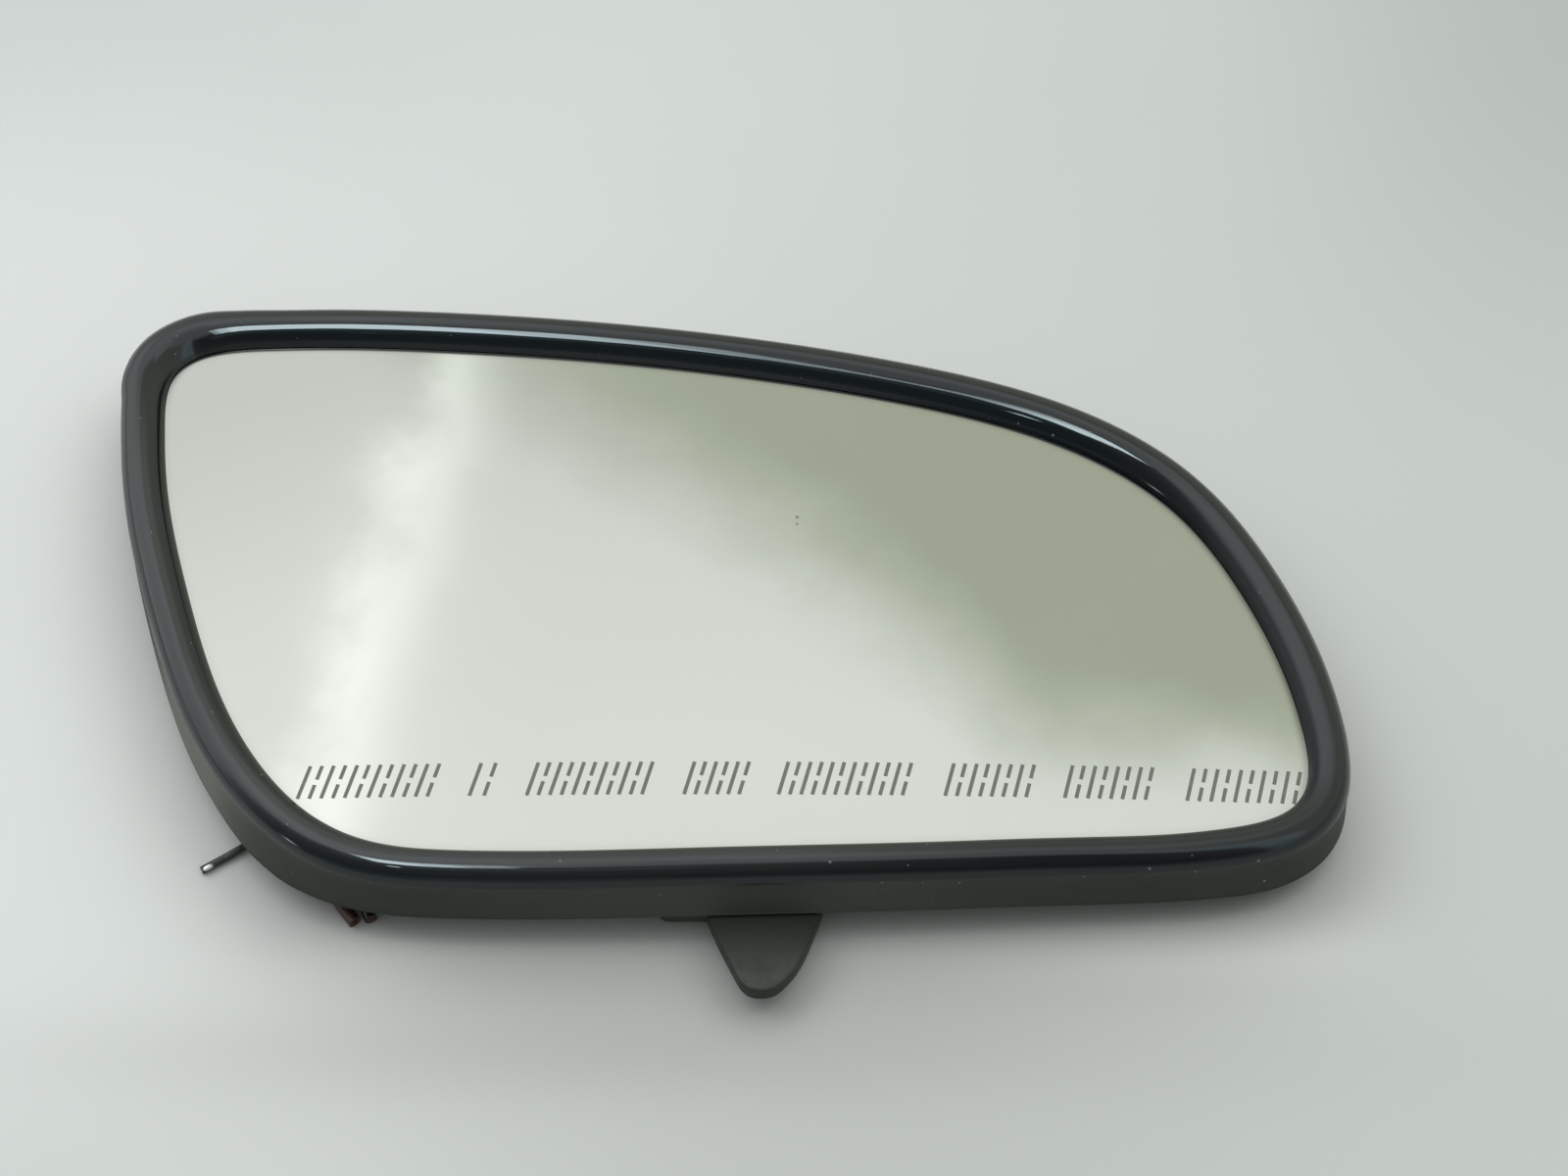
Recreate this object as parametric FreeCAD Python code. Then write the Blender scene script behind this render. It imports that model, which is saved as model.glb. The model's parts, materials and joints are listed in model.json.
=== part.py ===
import FreeCAD, Part
import math
import os

V = FreeCAD.Vector
os.makedirs("parts", exist_ok=True)

# Frame: X to the viewer's right across the glass, Y towards the glass's upper edge, Z out of the glass.
# The origin is the centre of the actuator pilot boss's mouth, on the surface that the unit lies on.

# ---- glass and its stack -------------------------------------------------------------------------
GLASS_R = 1400.0        # convex front, spherical radius
GLASS_Z = 15.0          # height of the front surface on the Z axis
GLASS_T = 2.0           # glass thickness
GLASS_UNDER = 2.4       # how far the glass runs under the surround's lip
FOIL_T = 0.6            # heating foil with its adhesive
FOIL_UNDER = 1.6
PLATE_T = 2.2           # carrier wall
LIP_GAP = 0.04          # lip to glass

# ---- surround ------------------------------------------------------------------------------------
WALL = 1.8              # surround wall
SKIRT_V = -7.2          # skirt's back edge below the glass surface
PLATE_GAP = 0.05        # carrier's edge to the surround's inner wall

# visible border of the glass, anticlockwise seen from the front
BORDER = [
    (80.13, 7.19), (76.26, 13.5), (71.87, 18.81), (66.63, 23.43), (60.51, 27.5), (53.65, 30.99),
    (46.09, 33.95), (37.76, 36.5), (28.39, 38.86), (18.48, 41.05), (8.4, 43.01), (-1.85, 44.76),
    (-12.27, 46.32), (-22.83, 47.7), (-33.54, 48.91), (-44.39, 49.97), (-54.92, 50.83),
    (-64.97, 51.41), (-74.26, 51.62), (-81.63, 51.28), (-86.29, 49.84), (-89.2, 47.03),
    (-90.35, 42.69), (-90.02, 35.84), (-88.84, 26.89), (-87.18, 18.43), (-84.88, 9.64),
    (-81.96, 0.12), (-78.86, -9.11), (-75.69, -17.15), (-72.17, -24.35), (-68.16, -30.78),
    (-63.62, -36.42), (-58.74, -40.88), (-53.58, -43.96), (-47.69, -45.81), (-40.46, -46.74),
    (-31.19, -47.15), (-21.28, -47.23), (-10.71, -47.04), (1.22, -46.69), (13.67, -46.32),
    (25.21, -45.92), (36.2, -45.43), (47.88, -44.78), (58.93, -44.24), (68.17, -43.61),
    (76.24, -42.5), (83.03, -40.84), (87.23, -38.5), (89.8, -34.93), (90.77, -29.98),
    (90.32, -23.3), (88.87, -15.57), (86.64, -7.91), (83.63, -0.14),
]
# surround's width outside that border, against the place along it (0 to 400 once round)
WIDTH = {0: 6.8, 8: 6.95, 16: 7.2, 24: 7.38, 32: 7.45, 60: 7.45, 100: 7.45, 136: 7.45, 144: 7.65,
         149: 8.5, 152: 8.9, 156: 8.3, 160: 7.3, 168: 7.1, 176: 7.0, 184: 6.95, 192: 6.9, 200: 6.8,
         208: 6.7, 216: 6.65, 224: 6.65, 240: 6.75, 280: 6.9, 320: 6.9, 350: 6.8, 360: 6.6,
         368: 6.4, 376: 6.55, 384: 6.7, 392: 6.75}
# how far the skirt's back edge stands outside that width
FLARE = {0: 0.3, 60: 0.35, 144: 0.35, 160: 0.3, 184: 0.35, 200: 0.5, 214: 0.8, 222: 1.05, 226: 1.34,
         230: 1.6, 234: 1.65, 238: 1.4, 246: 0.95, 256: 0.75, 272: 0.7, 304: 0.65, 340: 0.6,
         348: 0.75, 354: 0.95, 359: 0.7, 366: 0.35, 384: 0.3}
# roll's section: outward (for a 7 mm width) and above the glass surface
ROLL = [(0.0, LIP_GAP), (0.25, 0.8), (0.8, 1.7), (1.6, 2.5), (2.6, 3.1), (3.8, 3.4), (5.0, 3.2),
        (6.0, 2.5), (6.7, 1.45), (7.0, 0.2)]
HOLLOW = [(2.75, LIP_GAP), (2.9, 0.85), (3.6, 1.5), (4.4, 1.35)]
SNAP_AT = [12, 52, 92, 128, 172, 202, 258, 284, 326, 346, 378]   # snap noses, place along the border

# ---- carrier's back and the locking ring ---------------------------------------------------------
PILOT_R = 6.0
PILOT_DEPTH = 10.0
BOSS_R = 8.5
COLLAR_RI = 24.5
COLLAR_RO = 27.0
RING_RI = 27.35
RING_RO = 36.4
RING_Z0, RING_Z1 = 4.2, 6.0
LEVER_Z0, LEVER_Z1 = 3.7, 6.2
LUG_RI = 22.6
LUG_Z0, LUG_Z1 = 4.4, 5.8
LUG_AT = (20.0, 110.0, 200.0, 290.0)
LUG_HALF = 8.5
RELEASE = 16.0          # degrees of lever travel, clockwise seen from the front
WINDOW_Z0, WINDOW_Z1 = 3.9, 6.3
HOOK_AT = (45.0, 135.0, 225.0, 315.0)
HOOK_HALF = 6.0
LEVER = [(-8.0, -33.2), (-7.1, -52.75), (-6.3, -53.4), (-0.1, -53.4)]
TONGUE = [(-0.1, -53.4), (1.4, -57.3), (2.75, -60.3), (3.98, -62.85), (5.1, -64.95), (6.3, -66.03),
          (8.1, -66.38), (9.9, -65.98), (11.5, -64.68), (13.2, -62.48), (14.6, -59.78), (15.7, -56.88),
          (16.6, -54.38), (17.2, -52.48)]
LEVER_END = [(17.2, -49.0), (15.4, -31.5)]

# ---- leads ---------------------------------------------------------------------------------------
LEAD_D = 2.0
THIN_D = 1.2
TAB_Y = 4.0             # blades' feet
# route points of each lead, from its terminal to its cut end
BLACK = [(-43.5, -15.5, 6.6), (-43.5, -21.8, 6.6), (-45.3, -28.4, 4.7), (-48.9, -34.9, 2.3),
         (-52.2, -40.8, 1.1), (-53.0, -46.3, 1.0), (-50.8, -51.8, 1.0)]
BROWN = [(-52.6, -15.5, 6.5), (-52.6, -21.6, 6.5), (-54.2, -28.4, 4.7), (-57.2, -35.2, 2.3),
         (-58.3, -41.3, 1.05), (-57.0, -47.0, 1.0), (-53.0, -51.9, 1.0)]
THIN = [(-60.4, -15.5, 6.5), (-60.4, -21.2, 6.5), (-61.9, -27.6, 4.2), (-65.4, -33.7, 1.7),
        (-70.6, -38.5, 0.66), (-77.1, -42.6, 0.6)]


def table(s, t):
    """Smooth periodic value of table t at place s."""
    k = sorted(t)
    n = len(k)
    s = s % 400.0
    i = max(range(n), key=lambda j: (k[j] <= s, k[j] if k[j] <= s else -k[j]))
    if s < k[0]:
        i = -1

    def at(j):
        turn, m = divmod(j, n)
        return k[m] + 400.0 * turn, t[k[m]]

    (x0, y0), (x1, y1), (x2, y2), (x3, y3) = at(i - 1), at(i), at(i + 1), at(i + 2)
    h = x2 - x1
    m1 = (y2 - y0) / (x2 - x0) * h
    m2 = (y3 - y1) / (x3 - x1) * h
    d = y2 - y1
    if d == 0:
        m1 = m2 = 0.0
    else:
        m1 = max(0.0, min(m1 / d, 3.0)) * d
        m2 = max(0.0, min(m2 / d, 3.0)) * d
    a = (s - x1) / h
    return (y1 * (2 * a**3 - 3 * a**2 + 1) + m1 * (a**3 - 2 * a**2 + a)
            + y2 * (3 * a**2 - 2 * a**3) + m2 * (a**3 - a**2))


def periodic(points, params=None):
    c = Part.BSplineCurve()
    if params is None:
        c.interpolate(Points=points, PeriodicFlag=True)
    else:
        c.interpolate(Points=points, PeriodicFlag=True, Parameters=params)
    return c


# the border as one closed curve, parametrised 0 to 1 by chord length
chord = [0.0]
for i, p in enumerate(BORDER):
    q = BORDER[(i + 1) % len(BORDER)]
    chord.append(chord[-1] + math.hypot(q[0] - p[0], q[1] - p[1]))
border = periodic([V(x, y, 0) for x, y in BORDER], [c / chord[-1] for c in chord])

N = 100
STATION = []
for i in range(N):
    u = i / N
    p = border.value(u)
    t = border.tangent(u)[0]
    t.normalize()
    STATION.append((u * 400.0, p, V(t.y, -t.x, 0)))
PARAMS = [i / N for i in range(N + 1)]


def front(x, y, r=GLASS_R):
    """Height of the sphere of radius r about the glass's centre of curvature."""
    return GLASS_Z - GLASS_R + math.sqrt(r * r - x * x - y * y)


def offset_curve(out, z=0.0):
    pts = []
    for s, p, n in STATION:
        d = out(s) if callable(out) else out
        pts.append(V(p.x + n.x * d, p.y + n.y * d, z))
    return periodic(pts, PARAMS)


QUARTERS = [(0.0, 0.25), (0.25, 0.5), (0.5, 0.75), (0.75, 1.0)]


def prism(out, z0=-2.0, z1=30.0):
    edges = []
    for a, b in QUARTERS:
        c = offset_curve(out, z0)
        c.segment(a, b)
        edges.append(c.toShape())
    f = Part.Face(Part.Wire(edges))
    return f.extrude(V(0, 0, z1 - z0))


def ball(r):
    return Part.makeSphere(r, V(0, 0, GLASS_Z - GLASS_R), V(0, 1, 0))


def shell_of(body, r_out, r_in):
    return body.common(ball(r_out)).cut(ball(r_in))


def one(shape):
    s = shape.removeSplitter()
    sol = s.Solids
    if len(sol) == 1:
        return sol[0]
    return Part.makeCompound(sol)


def save(name, shape):
    shape = shape.copy()
    shape.exportStep("parts/%s.step" % name)
    b = shape.BoundBox
    print("%-16s valid %s solids %d volume %9.1f  x %.2f..%.2f y %.2f..%.2f z %.2f..%.2f"
          % (name, shape.isValid(), len(shape.Solids), shape.Volume,
             b.XMin, b.XMax, b.YMin, b.YMax, b.ZMin, b.ZMax))
    return shape


def width(s):
    return table(s, WIDTH)


def inner(s):
    return width(s) - WALL


# ---- glass, foil ---------------------------------------------------------------------------------
R_FOIL = GLASS_R - GLASS_T
R_PLATE = R_FOIL - FOIL_T
R_BACK = R_PLATE - PLATE_T
glass = one(shell_of(prism(GLASS_UNDER), GLASS_R, R_FOIL))
foil = one(shell_of(prism(FOIL_UNDER), R_FOIL, R_PLATE))

# ---- surround: four bands of surface round the border, closed into one solid ---------------------


def ring_points(out, v):
    pts = []
    for s, p, n in STATION:
        d, h = out(s), v
        x, y = p.x + n.x * d, p.y + n.y * d
        pts.append(V(x, y, front(x, y) + h))
    return pts


def open_interp(points, params):
    c = Part.BSplineCurve()
    c.interpolate(Points=points, Parameters=params)
    return c


def band(rings, smooth):
    """Surface through the rings: periodic along the border, cubic or straight across it."""
    rows = [periodic(r, PARAMS) for r in rings]
    uk, um = rows[0].getKnots(), rows[0].getMultiplicities()
    poles = [r.getPoles() for r in rows]
    n = len(poles[0])
    if smooth:
        mid = rings
        d = [0.0]
        for a, b in zip(mid[:-1], mid[1:]):
            d.append(d[-1] + sum(p.distanceToPoint(q) for p, q in zip(a, b)) / len(a))
        vp = [x / d[-1] for x in d]
        cols = [open_interp([poles[k][i] for k in range(len(rows))], vp) for i in range(n)]
        grid = [c.getPoles() for c in cols]
        vk, vm, vd = cols[0].getKnots(), cols[0].getMultiplicities(), cols[0].Degree
    else:
        grid = [[poles[0][i], poles[1][i]] for i in range(n)]
        vk, vm, vd = [0.0, 1.0], [2, 2], 1
    patches = []
    for a, b in QUARTERS:
        s = Part.BSplineSurface()
        s.buildFromPolesMultsKnots(grid, um, vm, uk, vk, True, False, rows[0].Degree, vd)
        s.segment(a, b, 0.0, 1.0)
        patches.append(s.toShape())
    return patches


def scaled(k):
    return lambda s: k * width(s) / 7.0


back_out = lambda s: width(s) + table(s, FLARE)
back_in = lambda s: back_out(s) - 1.5

roll = [ring_points(scaled(a), v) for a, v in ROLL]
for f, v in ((0.02, -1.4), (0.22, -3.0), (0.6, -5.1)):
    roll.append(ring_points(lambda s, f=f: width(s) + f * table(s, FLARE), v))
roll.append(ring_points(back_out, SKIRT_V))
under = [ring_points(scaled(a), v) for a, v in HOLLOW]
wall_top = ring_points(inner, -0.3)
under.append(wall_top)
wall_low = ring_points(inner, -5.0)
rim_in = ring_points(back_in, SKIRT_V)
faces = [
    band(roll, True),
    band([roll[-1], rim_in], False),
    band([rim_in, wall_low], False),
    band([wall_low, wall_top], False),
    band(under[::-1], True),
    band([under[0], roll[0]], False),
]
sewn = Part.makeCompound([f for patches in faces for f in patches])
sewn.sewShape()
bezel = Part.makeSolid(Part.Shell(sewn.Faces))
if bezel.Volume < 0:
    bezel.reverse()


def snap(s):
    """Wedge nose on the surround's inner wall, just under the carrier's edge."""
    u = (s % 400.0) / 400.0
    p, t = border.value(u), border.tangent(u)[0]
    t.normalize()
    n = V(t.y, -t.x, 0)
    w = inner(s)
    top = front(p.x + n.x * w, p.y + n.y * w) - 5.2
    a, b = w - 1.3, w + 0.9
    prof = [(a, top - 0.15), (a + 0.25, top), (b, top), (b, top - 1.3), (w - 0.1, top - 1.3)]
    pts = [V(p.x + n.x * d - t.x * 4, p.y + n.y * d - t.y * 4, z) for d, z in prof]
    face = Part.Face(Part.makePolygon(pts + [pts[0]]))
    return face.extrude(V(t.x * 8, t.y * 8, 0))


bezel = bezel.fuse([snap(s) for s in SNAP_AT])
bezel = one(bezel)

# ---- carrier -------------------------------------------------------------------------------------


def cyl(r, z0, z1):
    return Part.makeCylinder(r, z1 - z0, V(0, 0, z0))


def tube(ro, ri, z0, z1):
    return cyl(ro, z0, z1).cut(cyl(ri, z0 - 1, z1 + 1))


def sector(ro, ri, z0, z1, mid, half):
    a = Part.makeCylinder(ro, z1 - z0, V(0, 0, z0), V(0, 0, 1), 2 * half)
    b = Part.makeCylinder(ri, z1 - z0, V(0, 0, z0), V(0, 0, 1), 2 * half)
    c = a.cut(b)
    c.rotate(V(0, 0, 0), V(0, 0, 1), mid - half)
    return c


def beam(x0, y0, x1, y1, w, z0, z1):
    length = math.hypot(x1 - x0, y1 - y0)
    b = Part.makeBox(length, w, z1 - z0, V(0, -w / 2, z0))
    b.rotate(V(0, 0, 0), V(0, 0, 1), math.degrees(math.atan2(y1 - y0, x1 - x0)))
    b.translate(V(x0, y0, 0))
    return b


plate = shell_of(prism(lambda s: inner(s) - PLATE_GAP), R_PLATE, R_BACK)
under_ball = ball(R_PLATE - 0.7)          # features start inside the carrier's wall

# rib that runs round the carrier inside its edge, and spokes from the collar to it
rim_out = prism(lambda s: -3.8, 2.0, 20.0)
rim = rim_out.cut(prism(lambda s: -5.2, 1.0, 21.0)).common(ball(R_PLATE - 0.7)).cut(ball(R_BACK - 2.5))
inside = prism(lambda s: -4.4, 2.0, 20.0)
spokes = []
for a, l in ((0, 90), (25, 90), (62, 70), (90, 60), (118, 75), (150, 100), (168, 100), (232, 80),
             (250, 60), (300, 60), (322, 75), (342, 95)):
    c, s_ = math.cos(math.radians(a)), math.sin(math.radians(a))
    spokes.append(beam(26 * c, 26 * s_, l * c, l * s_, 1.4, 4.0, 14.8))
spokes = spokes[0].fuse(spokes[1:]).common(inside).common(under_ball).cut(ball(R_BACK - 1.9))
spokes = spokes.cut(cyl(COLLAR_RI + 0.5, -1, 20))

collar = tube(COLLAR_RO, COLLAR_RI, 0.0, 11.5)
boss = cyl(BOSS_R, 0.0, 11.5)
webs = []
for a in (0, 60, 120, 180, 240, 300):
    c, s_ = math.cos(math.radians(a + 15)), math.sin(math.radians(a + 15))
    webs.append(beam(7 * c, 7 * s_, 25.5 * c, 25.5 * s_, 1.6, 8.2, 11.5))
bearing = tube(33.6, 32.2, 6.2, 11.2)
hooks = []
for a in HOOK_AT:
    hooks.append(sector(38.6, 37.0, 2.6, 11.0, a, HOOK_HALF))
    hooks.append(sector(38.6, 34.8, 2.6, 3.9, a, HOOK_HALF))
plate = plate.fuse([rim, spokes, collar, boss, bearing] + webs + hooks)
plate = plate.cut(cyl(PILOT_R, -1.0, PILOT_DEPTH))
for a in LUG_AT:
    half = (2 * LUG_HALF + RELEASE) / 2 + 2.0
    plate = plate.cut(sector(COLLAR_RO + 1, COLLAR_RI - 1, WINDOW_Z0, WINDOW_Z1, a - RELEASE / 2, half))
# window over the foil's terminals
WIN = (-65.0, -38.6, 0.5, 10.5)
plate = plate.cut(Part.makeBox(WIN[1] - WIN[0], WIN[3] - WIN[2], 20, V(WIN[0], WIN[2], 0)))
plate = one(plate)

# ---- locking ring --------------------------------------------------------------------------------
ring = tube(RING_RO, RING_RI, RING_Z0, RING_Z1)
ring = ring.fuse([tube(28.9, RING_RI, 3.1, RING_Z1)]
                 + [sector(28.0, LUG_RI, LUG_Z0, LUG_Z1, a, LUG_HALF) for a in LUG_AT])
tongue = Part.BSplineCurve()
tongue.interpolate(Points=[V(x, y, LEVER_Z0) for x, y in TONGUE])
poly = [V(x, y, LEVER_Z0) for x, y in LEVER]
end = [V(TONGUE[-1][0], TONGUE[-1][1], LEVER_Z0)] + [V(x, y, LEVER_Z0) for x, y in LEVER_END] + [poly[0]]
edges = [Part.makeLine(a, b) for a, b in zip(poly[:-1], poly[1:])]
edges.append(tongue.toShape())
edges += [Part.makeLine(a, b) for a, b in zip(end[:-1], end[1:])]
lever = Part.Face(Part.Wire(edges)).extrude(V(0, 0, LEVER_Z1 - LEVER_Z0))
lever = lever.makeFillet(0.55, [e for e in lever.Edges
                                if e.BoundBox.ZMin > LEVER_Z1 - 0.01 and e.BoundBox.YMax < -50.0])
lever = lever.cut(cyl(34.4, -1, 20))
ridges = [beam(-3.6, -31.5, -1.4, -53.0, 1.3, 3.1, 5.0), beam(11.4, -30.5, 13.2, -53.0, 1.3, 3.1, 5.0)]
ring = one(ring.fuse([lever] + ridges))

# ---- terminals -----------------------------------------------------------------------------------


def foot_z(x):
    return front(x, TAB_Y + 2.0, R_PLATE)


def tab(x, w, t, z):
    """Folded blade: foot on the foil's back, a step down, and the blade along -Y at height z."""
    foot = Part.makeBox(w, 5.5, 4.0, V(x - w / 2, TAB_Y - 0.5, foot_z(x) - 1.1))
    web = Part.makeBox(w, t, foot_z(x) - z, V(x - w / 2, TAB_Y - 0.5, z - t / 2))
    blade = Part.makeBox(w, 11.5, t, V(x - w / 2, TAB_Y - 12.0 + t, z - t / 2))
    foot = foot.common(ball(R_PLATE))
    foot = foot.cut(Part.makeBox(w + 2, 8, 5, V(x - w / 2 - 1, TAB_Y - 2, foot_z(x) - 0.9 - 5)))
    return one(foot.fuse([web, blade]))


def terminal(x, w, t, z, d):
    """Female crimp terminal: folded channel over the blade, neck, and crimped barrel."""
    g = 0.06
    body = Part.makeBox(w + 1.6, 8.0, t + 1.7, V(x - w / 2 - 0.8, -9.0, z - t / 2 - 0.7))
    body = body.cut(Part.makeBox(w + 2 * g, 9.0, t + 2 * g, V(x - w / 2 - g, -9.0 + 0.9, z - t / 2 - g)))
    body = body.cut(Part.makeBox(w * 0.3, 9.0, 3.0, V(x - w * 0.15, -8.1, z + t / 2)))
    neck = Part.makeBox(w * 0.5, 2.2, 0.7, V(x - w * 0.25, -11.0, z - t / 2 - 0.7))
    barrel = Part.makeCylinder(d / 2 + 0.35, 4.6, V(x, -10.9, z), V(0, -1, 0))
    return one(body.fuse([neck, barrel]))


def sleeve(x, w, t, z, d):
    """Soft insulating sleeve, open over the blade, closed in round the lead."""
    g = 0.12
    o = Part.makeBox(w + 2.7, 15.4, t + 3.5, V(x - w / 2 - 1.35, -16.6, z - t / 2 - 1.6))
    o = o.makeFillet(0.7, [e for e in o.Edges if abs(e.tangentAt(e.FirstParameter).y) > 0.9])
    i = Part.makeBox(w + 1.6 + 2 * g, 9.2, t + 1.7 + 2 * g, V(x - w / 2 - 0.8 - g, -9.0 - g, z - t / 2 - 0.7 - g))
    b = Part.makeBox(max(w * 0.5, d + 0.7) + 2 * g, 6.6, d + 0.7 + 2 * g,
                     V(x - max(w * 0.5, d + 0.7) / 2 - g, -15.6, z - d / 2 - 0.35 - g))
    h = Part.makeCylinder(d / 2 + 0.05, 3.0, V(x, -15.0, z), V(0, -1, 0))
    return one(o.cut(i).cut(b).cut(h))


TERMS = {
    "black": (BLACK, 6.3, 0.8, LEAD_D),
    "brown": (BROWN, 6.3, 0.8, LEAD_D),
    "thin": (THIN, 2.8, 0.5, THIN_D),
}
term_shapes = {}
for name, (route, w, t, d) in TERMS.items():
    x, _, z = route[0]
    term_shapes[name + "_tab"] = tab(x, w, t, z)
    term_shapes[name + "_terminal"] = terminal(x, w, t, z, d)
    term_shapes[name + "_sleeve"] = sleeve(x, w, t, z, d)


# ---- leads: straight runs joined by tangent arcs --------------------------------------------------


def lead(name, route, d):
    pts = [V(*p) for p in route]
    runs = [b.sub(a) for a, b in zip(pts[:-1], pts[1:])]
    lens = [r.Length for r in runs]
    edges, at, total, radii = [], pts[0], 0.0, []
    for i in range(1, len(pts) - 1):
        a, b = V(runs[i - 1]), V(runs[i])
        a.normalize()
        b.normalize()
        turn = math.acos(max(-1.0, min(1.0, a.dot(b))))
        back = 0.45 * min(lens[i - 1], lens[i])
        r = back / math.tan(turn / 2)
        radii.append(round(r, 1))
        p0, p1 = pts[i] - a * back, pts[i] + b * back
        m = b - a
        m.normalize()
        c = pts[i] + m * (r / math.cos(turn / 2))
        mid = c - m * r
        edges.append(Part.LineSegment(at, p0).toShape())
        edges.append(Part.Arc(p0, mid, p1).toShape())
        total += (p0 - at).Length + r * turn
        at = p1
    edges.append(Part.LineSegment(at, pts[-1]).toShape())
    total += (pts[-1] - at).Length
    wire = Part.Wire(edges)
    first = V(runs[0])
    first.normalize()
    circle = Part.Wire([Part.makeCircle(d / 2, pts[0], first)])
    body = wire.makePipeShell([circle], True, False)
    vol = body.Volume
    print("%s: length %.1f mm, radii %s, volume over section x length %.4f"
          % (name, total, radii, vol / (math.pi * d * d / 4 * total)))
    return body


leads = {
    "black_wire": lead("black_wire", BLACK, LEAD_D),
    "brown_wire": lead("brown_wire", BROWN, LEAD_D),
    "thin_wire": lead("thin_wire", THIN, THIN_D),
}

save("mirror_glass", glass)
save("heater_foil", foil)
save("backing_plate", plate)
save("bezel_frame", bezel)
save("locking_ring", ring)
for k, s in term_shapes.items():
    save(k, s)
for k, s in leads.items():
    save(k, s)
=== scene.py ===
import json
import math

import bpy
import numpy as np
from mathutils import Matrix, Vector, noise

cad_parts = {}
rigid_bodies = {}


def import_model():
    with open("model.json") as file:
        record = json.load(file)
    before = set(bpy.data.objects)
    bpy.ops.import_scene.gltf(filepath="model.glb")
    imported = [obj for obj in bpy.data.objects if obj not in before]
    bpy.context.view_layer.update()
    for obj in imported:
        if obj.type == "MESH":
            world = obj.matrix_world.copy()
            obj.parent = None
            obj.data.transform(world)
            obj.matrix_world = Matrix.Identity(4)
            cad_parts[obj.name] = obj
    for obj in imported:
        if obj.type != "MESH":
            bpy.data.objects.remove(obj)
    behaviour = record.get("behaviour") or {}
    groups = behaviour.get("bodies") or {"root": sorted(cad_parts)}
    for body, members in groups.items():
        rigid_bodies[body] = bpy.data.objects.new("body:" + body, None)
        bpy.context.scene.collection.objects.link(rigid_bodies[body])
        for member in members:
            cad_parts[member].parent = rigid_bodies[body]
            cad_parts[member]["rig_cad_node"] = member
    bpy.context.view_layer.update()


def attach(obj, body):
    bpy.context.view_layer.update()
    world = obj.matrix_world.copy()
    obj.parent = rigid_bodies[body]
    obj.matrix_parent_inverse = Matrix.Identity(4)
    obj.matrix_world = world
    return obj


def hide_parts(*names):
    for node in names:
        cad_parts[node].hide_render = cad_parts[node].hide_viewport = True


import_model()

MM = 0.001

# ---- camera --------------------------------------------------------------------------------------
cam_data = bpy.data.cameras.new("camera")
cam_data.lens = 72.0
cam_data.sensor_width = 36.0
cam_data.sensor_fit = "HORIZONTAL"
cam_data.clip_start = 0.01
cam_data.clip_end = 50.0
cam = bpy.data.objects.new("camera", cam_data)
bpy.context.scene.collection.objects.link(cam)
eye, aim = Vector((0.01142, -0.28906, 0.41065)), Vector((0.01142, 0.0, 0.015))
cam.location = eye
cam.rotation_euler = (aim - eye).to_track_quat("-Z", "Y").to_euler()
bpy.context.scene.camera = cam
bpy.context.scene.view_settings.view_transform = "Standard"


def link(obj):
    bpy.context.scene.collection.objects.link(obj)
    return obj


# ---- node helpers --------------------------------------------------------------------------------
class X:
    """A shader value that can be used in sums and products."""

    def __init__(self, tree, v):
        self.t, self.v = tree, v

    def m(self, op, *others):
        n = self.t.nodes.new("ShaderNodeMath")
        n.operation = op
        for i, a in enumerate((self,) + others):
            a = a.v if isinstance(a, X) else a
            if isinstance(a, (int, float)):
                n.inputs[i].default_value = a
            else:
                self.t.links.new(a, n.inputs[i])
        return X(self.t, n.outputs[0])

    def __add__(self, o): return self.m("ADD", o)
    def __radd__(self, o): return self.m("ADD", o)
    def __sub__(self, o): return self.m("SUBTRACT", o)
    def __rsub__(self, o): return X(self.t, o).m("SUBTRACT", self)
    def __mul__(self, o): return self.m("MULTIPLY", o)
    def __rmul__(self, o): return self.m("MULTIPLY", o)
    def __truediv__(self, o): return self.m("DIVIDE", o)
    def max(self, o): return self.m("MAXIMUM", o)
    def min(self, o): return self.m("MINIMUM", o)
    def exp(self): return self.m("EXPONENT")
    def gauss(self, c, w):
        d = (self - c) / w
        return (d * d * -1.0).exp()

    def step(self, a, b, lo=0.0, hi=1.0):
        n = self.t.nodes.new("ShaderNodeMapRange")
        n.interpolation_type = "SMOOTHSTEP"
        self.t.links.new(self.v, n.inputs["Value"])
        for name, val in (("From Min", a), ("From Max", b), ("To Min", lo), ("To Max", hi)):
            if isinstance(val, X):
                self.t.links.new(val.v, n.inputs[name])
            else:
                n.inputs[name].default_value = val
        return X(self.t, n.outputs["Result"])


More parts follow.
